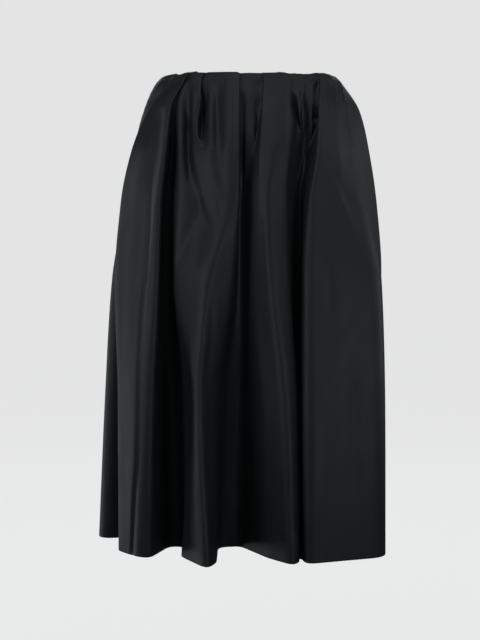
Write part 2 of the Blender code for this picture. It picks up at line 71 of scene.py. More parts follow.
# Each fold line, from the wearer's right side seam across the front. Kinds: "over" is the edge of a
# lap that lies on top, "under" the turn behind it, "run" a line on plain cloth. waist is its place
# across the waist; each later pair is (across, forward). None means that there is no such line there.
FRONT_FOLDS = (
    # name, kind, roll, waist, yoke, hip, seat, thigh, knee, hem
    ("right_seam", "run", 1, -149.5,
     (-186, -8), (-204.5, -20), (-217, -26), (-235, -30), (-243, -33), (-246, -34)),
    ("leaf", "run", 2, -142, (-182, 14), (-201, 14), (-215, 14), (-237.5, 20), (-248.5, 26), (-259.5, 34)),
    ("leaf_turn", "under", 1, -118, (-174, 32), (-198, 34), (-212, 36), (-214, 36), (-206, 38), (-200, 44)),
    ("strip_edge", "over", 1, -125, (-173, 44), (-203, 48), (-220, 58), (-227, 90), (-221, 108), (-220, 120)),
    ("strip", "run", 2, None, (-158, 61), (-178, 77), (-194, 85), (-202, 113), (-203, 130), (-204, 140)),
    ("strip_crease", "run", 1, None,
     (-147, 73), (-153, 92), (-166, 109), (-171, 136), (-183, 151), (-189, 158)),
    ("side_pleat", "over", 1, -101,
     (-134, 92), (-142, 116), (-150, 124), (-151, 145), (-160, 158), (-166, 168)),
    ("side_valley", "under", 1, -108, (-127, 81), (-130, 84), (-138, 86), (-141, 90), (-130, 92), (-121, 98)),
    ("big_left", "run", 1, None, (-118, 92), (-116, 113), (-118, 123), (-125, 132), (-95, 165), (-113, 158)),
    ("trough", "run", 1, None, (-103, 87), (-101, 109), (-84, 133), None, None, None),
    ("trough_rim", "run", 1, -87, (-94, 97), (-93, 117), None, None, None, None),
    ("drop_edge", "over", 1, -75, (-83, 102), None, None, None, None, None),
    ("drop_turn", "under", 1, -82, (-79, 88), None, None, None, None, None),
    ("drop_rim", "run", 1, None, (-66, 109), (-65, 134), (-50, 147), None, None, None),
    ("dip", "run", 1, None, (-54, 110), (-54, 131), None, None, None, None),
    ("big", "run", 2, -34, (-34, 119), (-34, 140), (-33, 152), (-66, 172), (-81, 198), (-67, 226)),
    ("centre_pleat", "over", 1, -15.8,
     (-15.8, 119), (-15.8, 138), (-17.5, 149), (-27, 150), (-52, 162), (-54, 198)),
    ("centre_turn", "under", 1, -26, (-22, 107), (-19, 119), (-18, 117), (-20, 114), (-40, 120), (-50, 107)),
    ("recess_turn", "under", 1, 31, (24, 108), (6, 120), (-8, 120), (-10, 115), (-14, 103), (-18, 98)),
    ("ridge_edge", "over", 1, 21, (20, 119), (17, 135), (15, 143), (8, 138), (20, 158), (30, 170)),
    ("ridge", "run", 2, 44, (36, 122), (40, 142), (30, 150), (36, 163), (58, 188), (69, 209)),
    ("short_edge", "over", 1, 66, (60, 117), (62, 135), (60, 138), (64, 150), (76, 174), (80, 194)),
    ("short_turn", "under", 1, 61.5, (76, 101), (79, 107), None, None, None, None),
    ("step", "run", 1, 79.5, None, None, None, None, None, None),
    ("thin_edge", "over", 1, 86.5, (85, 106), (86, 99), None, None, None, None),
    ("thin_turn", "under", 1, 80.5, (88, 92), None, None, None, None, None),
    ("rib", "run", 0.5, 104, (107, 95), None, None, None, None, None),
    ("panel_turn", "under", 1, 120, (123, 80), (99, 97), (86, 102), (86, 106), (85, 129), (84, 172)),
    ("panel_edge", "over", 1, 111, (116, 94), (113, 123), (100, 137), (90, 157), (89, 180), (93, 202)),
    ("panel", "run", 3, 134, (146, 77), (150, 101), (152, 118), (150, 151), (152, 172), (153, 186)),
    ("panel_corner", "run", 2, None, None, None, (190, 94), (215, 121), (219, 146), (220, 158)),
    ("left_seam", "run", 1, 145, (164.5, 50), (181, 64), (207, 53), (222, 8), (223, -6), (223, -12)),
)
# The same from the wearer's left side seam across the back.
BACK_FOLDS = (
    ("left_side", "run", 2, 149.9, (194, 0), (211, -4), (225, -20), (236, -49), (229, -74), (223, -84)),
    ("left_hip", "run", 1, 138, (174, -36), (194, -46), (206, -60), None, None, None),
    ("left_turn", "under", 1, 112, (141, -60), (158, -72), (167, -82), (177, -92), (180, -98), (182, -104)),
    ("left_edge", "over", 1, 119.5,
     (138, -80), (156, -98), (164, -116), (171, -140), (174, -158), (176, -168)),
    ("left_back_edge", "over", 1, 86,
     (100, -105), (112, -123), (120, -138), (132, -158), (138, -172), (142, -180)),
    ("left_back_turn", "under", 1, 96,
     (98, -90), (108, -104), (114, -112), (120, -120), (122, -126), (124, -130)),
    ("left_roll", "run", 2, 66, (78, -111), (88, -130), (94, -148), (100, -174), (104, -190), (104, -200)),
    ("left_roll_edge", "over", 1, 46, (50, -118), (56, -139), (60, -157), (64, -184), (68, -200), (68, -210)),
    ("left_roll_turn", "under", 1, 54,
     (45, -105), (43, -118), (43, -128), (44, -142), (46, -150), (46, -154)),
    ("zip_left", "run", 1, 16, (16, -115), (17, -128), (18, -139), (20, -155), (22, -169), (22, -179)),
    ("centre_back", "run", 1, 0, (0, -115), (0, -128), (0, -139), (0, -155), (0, -169), (0, -179)),
    ("zip_right", "run", 1, -16,
     (-16, -115), (-17, -128), (-18, -139), (-20, -155), (-22, -169), (-22, -179)),
    ("right_roll_turn", "under", 1, -58,
     (-50, -103), (-48, -117), (-50, -128), (-54, -144), (-58, -152), (-60, -152)),
    ("right_roll_edge", "over", 1, -50,
     (-56, -117), (-64, -136), (-70, -153), (-78, -176), (-84, -194), (-88, -206)),
    ("right_roll", "run", 2, -70,
     (-88, -105), (-100, -125), (-108, -140), (-118, -162), (-122, -180), (-126, -192)),
    ("back_turn", "under", 1, -101,
     (-112, -80), (-124, -96), (-132, -104), (-140, -110), (-146, -114), (-150, -112)),
    ("back_edge", "over", 1, -94,
     (-116, -94), (-134, -112), (-146, -124), (-162, -142), (-172, -156), (-180, -164)),
    ("right_flank", "run", 1, -107, None, None, None, None, None, None),
    ("right_turn", "under", 1, -129,
     (-150, -54), (-169, -64), (-180, -70), (-194, -76), (-203, -78), (-208, -76)),
    ("right_edge", "over", 1, -123,
     (-154, -64), (-177, -76), (-191, -86), (-211, -98), (-223, -104), (-230, -106)),
    ("right_side", "run", 1, -143, (-179, -34), (-199, -45), None, None, None, None),
)
FOLDS = FRONT_FOLDS + BACK_FOLDS
NAMES = [fold[0] for fold in FOLDS]


def monotone(heights, values, at):
    """A smooth curve through values that never swings past them (a monotone cubic)."""
    heights, values = np.asarray(heights, float), np.asarray(values, float)
    step = np.diff(heights)
    slope = np.diff(values) / step
    tangent = np.zeros(len(values))
    tangent[0], tangent[-1] = slope[0], slope[-1]
    for i in range(1, len(values) - 1):
        if slope[i - 1] * slope[i] > 0:
            near, far = 2 * step[i] + step[i - 1], step[i] + 2 * step[i - 1]
            tangent[i] = (near + far) / (near / slope[i - 1] + far / slope[i])
    i = int(np.clip(np.searchsorted(heights, at) - 1, 0, len(step) - 1))
    t = (at - heights[i]) / step[i]
    return (
        (1 + 2 * t) * (1 - t) ** 2 * values[i]
        + t * (1 - t) ** 2 * step[i] * tangent[i]
        + t * t * (3 - 2 * t) * values[i + 1]
        + t * t * (t - 1) * step[i] * tangent[i + 1]
    )


def on_waist(across, side, kind, width, depth, radius):
    """A peg's place in the waist's ellipse: plain cloth outermost, then a lap's edge, its turn deepest."""
    share = min(1.0, abs(across) / WAIST_HALF)
    point = np.array([math.copysign(share, across) * width / 2, -side * math.sqrt(1 - share**2) * depth / 2])
    inset = LAYERS_IN[kind] * radius
    return point * (1 - inset / np.hypot(*point))


def taut_string(pegs, radii):
    """The closed string round the pegs, as dense points, and which point is the middle of each bend."""
    into = pegs - np.roll(pegs, 1, axis=0)
    out = np.roll(into, -1, axis=0)
    reach_in, reach_out = np.hypot(*into.T), np.hypot(*out.T)
    unit_in, unit_out = into / reach_in[:, None], out / reach_out[:, None]
    turning = unit_in[:, 0] * unit_out[:, 1] - unit_in[:, 1] * unit_out[:, 0]
    bend = np.arccos(np.clip((unit_in * unit_out).sum(axis=1), -1, 1))
    # Two pegs on opposite sides of the string may not reach each other, or no line passes between them.
    room = BEND_ROOM * np.minimum(reach_in, reach_out) / np.sin(np.maximum(bend, LEAST_BEND) / 2)
    # A peg that the string hardly bends at shrinks to a point, so that it never turns the wrong way round.
    radius = np.minimum(radii, room) * np.clip(bend / HARDLY_BENT, 0, 1)
    inward = unit_out - unit_in
    inward /= np.maximum(np.hypot(*inward.T), 1e-9)[:, None]
    centre = pegs + inward * radius[:, None]
    signed = np.where(turning >= 0, radius, -radius)
    between = np.roll(centre, -1, axis=0) - centre
    slant = np.clip((np.roll(signed, -1) - signed) / np.hypot(*between.T), -1, 1)
    leaving = np.arctan2(between[:, 1], between[:, 0]) - np.arcsin(slant)
    arriving = np.roll(leaving, 1)
    turn = (leaving - arriving) % (2 * math.pi)
    left = signed >= 0
    turn = np.where(left & (turn > LEFT_BEND_MOST), turn - 2 * math.pi, turn)
    turn = np.where(~left & (turn > RIGHT_BEND_MOST), turn - 2 * math.pi, turn)
    angles = arriving[:, None] + turn[:, None] * np.linspace(0, 1, ARC_POINTS)
    spokes = np.stack([-np.sin(angles), np.cos(angles)], axis=-1)
    points = (centre[:, None] - signed[:, None, None] * spokes).reshape(-1, 2)
    return points, np.arange(len(pegs)) * ARC_POINTS + ARC_POINTS // 2


def along_polyline(points):
    """The length along a line of points up to each of them."""
    return np.concatenate([[0], np.cumsum(np.hypot(*np.diff(points, axis=0).T))])


def on_line(at, along, points):
    """The points that lie at these lengths along a line."""
    return np.stack([np.interp(at, along, axis) for axis in points.T], axis=-1)


def bend_radii(folds, radius):
    """Each fold line's own radius, where folds have this one."""
    return np.array([roll * (PLAIN_RADIUS if kind == "run" else radius) for _, kind, roll, *_ in folds])


def pegs_at(level):
    """Every fold line's (x, y) at one level, in order round the skirt."""
    radius = FOLD_RADIUS[level]
    at_waist = level in WAIST_SIZES
    places = {}
    for i, (_name, kind, _roll, waist, *lower) in enumerate(FOLDS):
        place = waist if at_waist else lower[list(LEVELS).index(level) - len(WAIST_SIZES)]
        if place is None:
            continue
        if at_waist:
            side = 1 if i < len(FRONT_FOLDS) else -1
            place = on_waist(waist, side, kind, *WAIST_SIZES[level], radius)
        places[i] = place
    known = sorted(places)
    pegs = np.array([places[i] for i in known], float)
    if not at_waist:
        pegs *= SPREAD[level], -1
    # A line that isn't there lies on the string between its neighbours.
    points, middles = taut_string(pegs, bend_radii([FOLDS[i] for i in known], radius))
    points = np.vstack([points, points[:1]])
    along = along_polyline(points)
    last = len(FOLDS)
    marks = np.interp(
        range(last),
        [*known, known[0] + last],
        [*along[middles], along[-1] + along[middles[0]]],
    )
    every = on_line(marks % along[-1], along, points)
    every[known] = pegs
    return every


LEVEL_HEIGHTS = list(LEVELS.values())
LEVEL_PEGS = np.array([pegs_at(level) for level in LEVELS])


def softened(points, middles, reach):
    """The closed curve at even steps with its bends eased over a reach, and each bend's place along it."""
    closed = np.vstack([points, points[:1]])
    along = along_polyline(closed)
    count = int(along[-1] / SOFTENING_STEP)
    even = np.linspace(0, along[-1], count, endpoint=False)
    curve = on_line(even, along, closed)
    steps = int(3 * reach / SOFTENING_STEP) + 1
    weights = np.exp(-0.5 * (np.arange(-steps, steps + 1) * SOFTENING_STEP / reach) ** 2)
    curve = sum(w * np.roll(curve, k - steps, axis=0) for k, w in enumerate(weights / weights.sum()))
    curve = np.vstack([curve, curve[:1]])
    eased = along_polyline(curve)
    return curve, eased, np.interp(along[middles], np.append(even, along[-1]), eased)


def section(down):
    """The cloth's plan section at a height: its points, their arc length, and each fold line's place."""
    pegs = np.array(
        [
            [monotone(LEVEL_HEIGHTS, LEVEL_PEGS[:, i, axis], down) for axis in (0, 1)]
            for i in range(len(FOLDS))
        ]
    )
    radius = monotone(LEVEL_HEIGHTS, list(FOLD_RADIUS.values()), down)
    reach = monotone(LEVEL_HEIGHTS, list(SOFTENING.values()), down)
    return softened(*taut_string(pegs, bend_radii(FOLDS, radius)), reach)


# The mesh's rows lie closest round the two rows of stitching and where the pleats change fastest.
STITCH_DOWNS = (6.2, 10.0)
EDGE_ROWS = (0.5, 2.5, 4.5, 5.5, 6.2, 6.9, 8.1, 9.3, 10.0, 10.7, 12.0)
ROW_RUNS = ((14, 130, 2.4), (132, 250, 5), (254, 768, 12))  # from, to before, step
ROWS_OVER_HEM = np.array((20, 13, 7, 2.5, 0.5))
ROWS = np.concatenate([EDGE_ROWS, *(np.arange(*run) for run in ROW_RUNS), LENGTH - ROWS_OVER_HEM])
HEM_ROWS = 4  # of the rows above the hem that the turned-up hem repeats inside
NEAR_FOLD = 3  # columns on each side of a fold line, packed into its bend
BESIDE_FOLD = 1.5  # fold radii that they spread over
COLUMN_SPACING = 6.1
SECTIONS = [section(down) for down in ROWS]
GIRTHS = [along[-1] for _points, along, _marks in SECTIONS]
ROLLS = np.array([BESIDE_FOLD * monotone(LEVEL_HEIGHTS, list(FOLD_RADIUS.values()), down) for down in ROWS])


def column_places(order):
    """Each column of a panel, for every row, as its place along the section between two fold lines."""
    columns = []
    for a, b in zip(order, order[1:]):
        starts = np.array([marks[a] for _points, _along, marks in SECTIONS])
        spans = np.array([(marks[b] - marks[a]) % girth for (_p, _a, marks), girth in zip(SECTIONS, GIRTHS)])
        ends = [1 if FOLDS[i][1] == "run" else NEAR_FOLD for i in (a, b)]
        middle = max(2, round(spans.max() / COLUMN_SPACING) - sum(ends) // 2)
        even = spans / (sum(ends) + middle)
        near = [even if n == 1 else np.minimum(ROLLS, even * n) for n in ends]
        columns += [starts + near[0] * k / ends[0] for k in range(ends[0])]
        columns += [starts + near[0] + (spans - near[0] - near[1]) * k / middle for k in range(middle)]
        columns += [starts + spans - near[1] + near[1] * k / ends[1] for k in range(ends[1])]
    columns.append(np.array([marks[order[-1]] for _points, _along, marks in SECTIONS]))
    return np.array(columns).T


# The creases and soft ridges between the folds, each as a line drawn on one side of the skirt. Height is
# how far it stands out, or in where it is negative; rise and fall are the shares of its length that it
# grows and dies away in; points are (across, down), or (forward, down) on the two flanks.
CREASES = (
    # side, height, half width, rise, fall, points
    ("front", -8.0, 9, 0.3, 0.4, ((-102, 56), (-101, 90), (-101, 125), (-98, 165), (-90, 200))),
    ("front", -5.5, 14, 0.35, 0.5, ((-101, 125), (-96, 170), (-83, 218), (-70, 260), (-56, 310))),
    ("front", 2.5, 6, 0.2, 0.4, ((-91, 18), (-92, 50), (-94, 80), (-95, 108))),
    (
        "front", 1.8, 2.4, 0.3, 0.1,
        ((-75, 12), (-82, 50), (-86, 82), (-87, 102), (-83, 114), (-77, 119), (-71.5, 113)),
    ),
    ("front", 1.8, 2.4, 0.3, 0.3, ((-77, 119), (-71.5, 113), (-69.5, 98), (-69, 70), (-68, 40))),
    ("front", -10.0, 6.5, 0.5, 0.12, ((-77, 56), (-79, 75), (-79, 95), (-78, 113))),
    ("front", 3.2, 5, 0.3, 0.3, ((-65, 12), (-64, 60), (-63, 100), (-57, 130), (-46, 155), (-38, 172))),
    ("front", -4.5, 7, 0.3, 0.4, ((-55, 14), (-53, 60), (-51, 100), (-44, 136))),
    ("front", -8.0, 5.2, 0.07, 0.4, ((-12.5, 6), (-12.5, 60), (-12.5, 120), (-13, 210))),
    ("front", -7.0, 5.5, 0.12, 0.4, ((16, 8), (15, 60), (12, 104), (9, 140))),
    ("front", -6.0, 11, 0.5, 0.3, ((94, 24), (93, 60), (91, 105), (88, 140), (90, 176))),
    ("front", 2.0, 12, 0.1, 0.4, ((-36, 12), (-35, 60), (-35, 120), (-33, 170))),
    ("front", 1.8, 10, 0.4, 0.5, ((-66, 180), (-58, 222), (-53, 262), (-50, 320))),
    ("front", -3.0, 10, 0.4, 0.5, ((-92, 240), (-84, 280), (-80, 330))),
    (
        "front", -4.2, 6, 0.2, 0.02,
        ((-147, 100), (-156, 140), (-161, 190), (-163, 250), (-167, 317),
         (-175, 390), (-180, 500), (-182, 620), (-188, 700), (-193, 800)),
    ),
    (
        "front", 0.8, 14, 0.3, 0.02,
        ((-172, 80), (-182, 160), (-190, 250), (-196, 380), (-199, 560), (-205, 800)),
    ),
    ("front", 1.5, 4, 0.3, 0.3, ((-156, 180), (-157, 240), (-163, 300), (-168, 380))),
    ("front", 2.4, 4.5, 0.2, 0.5, ((57, 20), (50, 44), (46, 66), (45, 90))),
    ("front", -5.0, 5.5, 0.3, 0.5, ((68, 26), (73, 50), (78, 80), (86, 118))),
    ("front", 1.4, 1.8, 0.1, 0.4, ((77, 8), (79, 40), (82, 77), (88, 121))),
    ("front", -2.4, 2.6, 0.1, 0.4, ((80.5, 8), (82.5, 40), (86, 77), (92, 115))),
    ("front", -16.0, 5.2, 0.2, 0.15, ((111, 8), (109, 34), (107, 60), (106.5, 86))),
    ("front", 2.4, 2.8, 0.1, 0.3, ((101, 12), (100, 42), (99.5, 66), (101, 82), (106, 90))),
    ("front", -1.8, 1.7, 0.1, 0.4, ((134, 9), (139, 28), (146, 50), (150, 66))),
    ("front", 1.0, 2.2, 0.1, 0.4, ((115, 12), (114, 50), (115, 95))),
    ("front", 1.2, 2.6, 0.1, 0.4, ((126, 12), (128, 44), (131, 84))),
    ("front", 1.6, 11, 0.4, 0.5, ((126, 150), (140, 193), (160, 232), (180, 290))),
    ("front", -1.6, 10, 0.4, 0.5, ((112, 190), (122, 250), (128, 330), (130, 420))),
    ("front", 1.2, 5, 0.3, 0.4, ((104, 200), (103, 300), (100, 420))),
    ("front", -1.5, 12, 0.3, 0.5, ((160, 430), (168, 540), (166, 650), (170, 740))),
    ("front", 1.0, 9, 0.3, 0.5, ((24, 220), (30, 300), (42, 400), (52, 500))),
    ("front", -2.0, 10, 0.3, 0.4, ((-66, 330), (-62, 390), (-66, 460), (-84, 560))),
    ("front", 2.0, 7, 0.4, 0.3, ((-100, 560), (-92, 640), (-86, 720), (-84, 780))),
    ("front", 1.6, 6, 0.4, 0.1, ((-22, 690), (-28, 740), (-30, 800))),
    ("front", -1.4, 8, 0.4, 0.3, ((64, 640), (70, 710), (72, 770))),
    ("left", -2.2, 9, 0.3, 0.5, ((-20, 60), (-30, 130), (-34, 210), (-30, 300))),
    ("left", 2.0, 12, 0.4, 0.5, ((4, 160), (-4, 260), (-6, 370), (-2, 470))),
    ("left", -3.0, 14, 0.4, 0.1, ((-44, 470), (-46, 590), (-40, 700), (-44, 800))),
    ("left", 1.5, 8, 0.4, 0.3, ((24, 560), (30, 660), (28, 770))),
    ("right", -2.5, 8, 0.2, 0.4, ((-12, 30), (-14, 90), (-22, 170), (-24, 250))),
    ("right", 2.0, 10, 0.4, 0.5, ((6, 90), (10, 190), (8, 320))),
    ("right", -2.0, 10, 0.4, 0.1, ((-2, 430), (2, 560), (8, 680), (6, 800))),
    ("back", -3.0, 7, 0.1, 0.4, ((34, 12), (32, 60), (30, 110), (28, 150))),
    ("back", 2.2, 8, 0.1, 0.5, ((68, 12), (74, 70), (80, 140), (86, 220))),
    ("back", -2.6, 6, 0.1, 0.4, ((118, 12), (128, 50), (138, 96), (144, 140))),
    ("back", -2.4, 10, 0.4, 0.4, ((84, 260), (90, 350), (88, 450), (94, 540))),
    ("back", 1.8, 12, 0.4, 0.5, ((34, 240), (36, 330), (40, 430))),
    ("back", -1.8, 9, 0.4, 0.2, ((122, 540), (124, 640), (126, 740))),
    ("back", -2.8, 6, 0.1, 0.5, ((-30, 12), (-29, 50), (-31, 96))),
    ("back", 2.4, 9, 0.1, 0.4, ((-74, 12), (-86, 70), (-96, 130), (-102, 210))),
    ("back", -2.0, 7, 0.2, 0.5, ((-64, 90), (-76, 150), (-84, 230))),
    ("back", -2.4, 11, 0.4, 0.4, ((-34, 200), (-40, 300), (-46, 410), (-44, 500))),
    ("back", 1.8, 10, 0.4, 0.3, ((-112, 430), (-112, 540), (-108, 660), (-112, 760))),
    ("back", -1.6, 8, 0.4, 0.1, ((-28, 600), (-34, 700), (-36, 800))),
)
CREASE_STEP = 1.0
# A crease goes through all the cloth this near the outside, and fades out behind it.
LAYERS_DEEP = (14.0, 30.0)
BESIDE = 2.0  # how far to each side the outside is looked for
# For each side of the skirt, the axes that run across it and out of it, and which way is out.
SIDES = {"front": (0, 1, -1), "back": (0, 1, 1), "right": (1, 0, -1), "left": (1, 0, 1)}

# How far the top edge stands above or below its line, where the pleats' layers meet it: (across, lift).
FRONT_LIFTS = (
    (-150, 0), (-140, 0.6), (-130, 2), (-122, 1.6), (-118, -0.6), (-113, 0), (-108, 1.6), (-97, 2.6),
    (-87, 3), (-85, 1), (-74, 0.3), (-68, 1.2), (-35, 0.5), (-20, 0.2), (-18, -1.6), (-5, -0.7),
    (22, -1.1), (42, -0.5), (48, 0.6), (55, 0.2), (61, -0.4), (64, -2.4), (68, -0.8), (73, -0.2),
    (77, -1.3), (100, -0.6), (104, 0.4), (108, 2), (114, 2), (124, 3), (131, 2.2), (140, 0.6), (150, 0),
)
BACK_LIFTS = (
    (-150, 0), (-131, 0.9), (-126, -0.8), (-104, -0.3), (-99, 1.4), (-92, 0.2), (-60, 0.9), (-53, -0.9),
    (-20, -0.2), (-6, 0.3), (6, 0.3), (20, 0.1), (48, 1.1), (52, -0.6), (84, -0.2), (90, 1.2),
    (98, -0.7), (116, 1.3), (122, -0.4), (150, 0),
)
LIFT_REACH = 30.0
PUCKER, PUCKER_REACH, PUCKER_LENGTH = 0.2, 8.0, 13.0  # of the cloth beside the long seams
PUCKER_DRIFT, DRIFT_LENGTH = 1.7, 31  # which make the puckers uneven
PUCKER_IN = 0.5  # of a pucker's height, by which the seam is drawn in
PUCKER_TOP, PUCKER_GROWTH = 12, 20  # where they begin below the top edge, and how long they take to grow
GATHER, GATHER_REACH, GATHER_LENGTHS = 0.22, 26.0, (9.0, 5.7)  # of the cloth under the stitched edge
GROOVE, GROOVE_HALF, EDGE_PUFF, PUFF_FADE = 0.4, 1.1, 0.3, 2


def smooth_step(share):
    """0 before 0, 1 after 1, and a smooth change between."""
    share = np.clip(share, 0, 1)
    return share * share * (3 - 2 * share)


def curve_through(points):
    """A smooth line through points, as closely spaced places and their shares of its length."""
    points = np.array(points, float)
    ends = np.vstack([2 * points[0] - points[1], points, 2 * points[-1] - points[-2]])
    steps = [int(np.hypot(*(b - a)) / CREASE_STEP) + 2 for a, b in zip(points, points[1:])]
    line = []
    for (p, q, r, s), count in zip(zip(ends, ends[1:], ends[2:], ends[3:]), steps):
        t = np.linspace(0, 1, count, endpoint=False)[:, None]
        line.append(q + 0.5 * t * (r - p + t * (2 * p - 5 * q + 4 * r - s + t * (3 * (q - r) + s - p))))
    line = np.vstack([*line, points[-1:]])
    along = along_polyline(line)
    return line, along / along[-1]


def creased(grid):
    """The grid with every crease pressed into it."""
    moved = grid.copy()
    downs = TOP_EDGE - grid[:, :, 2]
    for side, height, half, rise, fall, points in CREASES:
        across_axis, out_axis, sense = SIDES[side]
        across = grid[:, :, across_axis] * (-1 if across_axis else 1)
        line, shares = curve_through(points)
        low_across, low_down = line.min(axis=0) - half
        high_across, high_down = line.max(axis=0) + half
        out = grid[:, :, out_axis] * sense
        near = (across > low_across) & (across < high_across) & (out > 0)
        near &= (downs > low_down) & (downs < high_down)
        if not near.any():
            continue
        spots = np.column_stack([across[near], downs[near]])
        gaps = np.hypot(*(spots[:, None] - line[None]).transpose(2, 0, 1))
        nearest = gaps.argmin(axis=1)
        gap, share = gaps[np.arange(len(spots)), nearest], shares[nearest]
        strength = smooth_step(share / rise) * smooth_step((1 - share) / fall)
        strength *= np.clip(1 - (gap / half) ** 2, 0, 1) ** 2
        rows = np.nonzero(near)[0]
        outermost = np.empty(len(spots))
        for row in np.unique(rows):
            points_there = SECTIONS[row][0]
            across_there = points_there[:, across_axis] * (-1 if across_axis else 1)
            out_there = points_there[:, out_axis] * sense
            here = rows == row
            beside = np.abs(across_there[None] - spots[here, 0][:, None]) < BESIDE
            outermost[here] = np.where(beside, out_there[None], -np.inf).max(axis=1)
        deep = outermost - out[near]
        strength *= 1 - smooth_step((deep - LAYERS_DEEP[0]) / (LAYERS_DEEP[1] - LAYERS_DEEP[0]))
        moved[:, :, out_axis][near] += sense * height * strength
    return moved


def outward(grid):
    """The outward direction at each point of a grid of rows."""
    facing = np.cross(np.gradient(grid, axis=0), np.gradient(grid, axis=1))
    return facing / np.linalg.norm(facing, axis=2, keepdims=True)


def finished_waist(grid, lengths):
    """The grid with its top edge uneven, drawn in at the rows of stitching, and gathered a little below."""
    downs = ROWS[:, None]
    lifts = [np.interp(grid[:, :, 0], *np.transpose(table)) for table in (FRONT_LIFTS, BACK_LIFTS)]
    lift = np.where(grid[:, :, 1] < 0, *lifts)
    grid = grid.copy()
    grid[:, :, 2] += lift * (1 - smooth_step(downs / LIFT_REACH))
    out = EDGE_PUFF * (1 - smooth_step((downs - STITCH_DOWNS[1]) / PUFF_FADE))
    for row in STITCH_DOWNS:
        out = out - GROOVE * np.clip(1 - ((downs - row) / GROOVE_HALF) ** 2, 0, 1)
    longer, shorter = GATHER_LENGTHS
    waves = np.sin(2 * math.pi * lengths[:1] / longer) + np.sin(2 * math.pi * lengths[:1] / shorter + 1)
    below = smooth_step(downs / STITCH_DOWNS[0]) * (1 - smooth_step((downs - STITCH_DOWNS[0]) / GATHER_REACH))
    out = out + GATHER * waves * below
    return grid + outward(grid) * out[:, :, None]


def puckered(grid, lengths):
    """The grid drawn up a little along both of its long seams."""
    from_seam = np.minimum(lengths, lengths[:, -1:] - lengths)
    drift = PUCKER_DRIFT * np.sin(ROWS / DRIFT_LENGTH)
    wave = np.sin(2 * math.pi * ROWS / PUCKER_LENGTH + drift) - PUCKER_IN
    near = np.exp(-((from_seam / PUCKER_REACH) ** 2))
    out = PUCKER * wave[:, None] * near * smooth_step((ROWS[:, None] - PUCKER_TOP) / PUCKER_GROWTH)
    return grid + outward(grid) * out[:, :, None]


CLOTH = 0.45  # the satin's thickness
FACE_END = 0.5  # from a seam's line to where the cloth's face begins to turn in
# Each turned edge: how far on, and how deep in, its next lines lie.
SEAM_TURN = ((0.15, 0.03), (0.28, 0.12), (0.32, 0.4), (0.32, 2.6))
EDGE_TURN = ((0.22, 0.08), (0.3, 0.25), (0.2, 0.42), (-2.0, 0.5))
HEM_TURN = ((0.25, 0.1), (0.35, 0.45), (0.25, 0.8))
# How much of the cut each of those steps takes up.
SEAM_RUN, EDGE_RUN, HEM_RUN = (0.12, 0.12, 0.28, 2.2), (0.3, 0.3, 0.3, 2.2), (0.2, 0.4, 0.4)
HEM_DEEP = 0.9


def beyond(face, before, facing, turn):
    """The lines that carry an edge of the cloth on from its face and in."""
    onward = face - before
    onward /= np.linalg.norm(onward, axis=-1, keepdims=True)
    return [face + onward * on - facing * deep for on, deep in turn]


def turned_in(grid, lengths):
    """The face's grid with its seam edges, its top and its hem turned in, and its places on the cut."""
    facing = outward(grid)
    left = beyond(grid[:, 0], grid[:, 1], facing[:, 0], SEAM_TURN)
    right = beyond(grid[:, -1], grid[:, -2], facing[:, -1], SEAM_TURN)
    run = np.cumsum(SEAM_RUN)
    lengths = np.hstack([lengths[:, :1] - run[::-1], lengths, lengths[:, -1:] + run])
    grid = np.concatenate([np.stack(left[::-1], axis=1), grid, np.stack(right, axis=1)], axis=1)
    first, last = (edge.repeat(len(SEAM_TURN), axis=1) for edge in (facing[:, :1], facing[:, -1:]))
    facing = np.concatenate([first, facing, last], axis=1)
    top = beyond(grid[0], grid[1], facing[0], EDGE_TURN)
    hem = beyond(grid[-1], grid[-2], facing[-1], HEM_TURN)
    hem += [grid[-k] - facing[-k] * HEM_DEEP for k in range(2, HEM_ROWS + 2)]
    heights = [*(-ROWS[0] + np.cumsum(EDGE_RUN))[::-1], *-ROWS, *(-LENGTH - np.cumsum(HEM_RUN))]
    heights += [-LENGTH - sum(HEM_RUN) - (LENGTH - ROWS[-k]) for k in range(2, HEM_ROWS + 2)]
    above, below = lengths[:1].repeat(len(top), axis=0), lengths[-1:].repeat(len(hem), axis=0)
    lengths = np.vstack([above, lengths, below])
    grid = np.concatenate([np.stack(top[::-1]), grid, np.stack(hem)])
    return grid, lengths, np.array(heights)


def side_gap(_down):
    """How far a panel's face ends from a side seam, the same all the way down."""
    return FACE_END


ZIP_GAP, ZIP_GAP_OPEN, ZIP_GAP_CLOSED = 1.4, 21.0, 34.0


def zip_gap(down):
    """The same at the centre back, whose gap widens round the slider's neck."""
    near = min(1.0, max(0.0, (ZIP_GAP_CLOSED - down) / (ZIP_GAP_CLOSED - ZIP_GAP_OPEN)))
    return FACE_END + (ZIP_GAP - FACE_END) * near


def panel_face(first, last, first_gap, last_gap):
    """A panel's outside as rows of points, and how far across the cut each point lies."""
    start, end = NAMES.index(first), NAMES.index(last)
    order = [i % len(FOLDS) for i in range(start, end + 1 if end > start else end + len(FOLDS) + 1)]
    grid, lengths = [], []
    for down, (points, along, _marks), row, girth in zip(ROWS, SECTIONS, column_places(order), GIRTHS):
        run = np.concatenate([[0], np.cumsum(np.diff(row) % girth)])
        run[0], run[-1] = first_gap(down), run[-1] - last_gap(down)
        lengths.append(run)
        at = (row[0] + run) % girth
        grid.append(np.column_stack([on_line(at, along, points), np.full(len(at), TOP_EDGE - down)]))
    return np.array(grid), np.array(lengths)


def as_object(name, shape, finish):
    """A smooth object with this finish, from its bmesh."""
    mesh = bpy.data.meshes.new(name)
    shape.to_mesh(mesh)
    shape.free()
    mesh.shade_smooth()
    mesh.materials.append(finish)
    made = bpy.data.objects.new(name, mesh)
    bpy.context.scene.collection.objects.link(made)
    return made


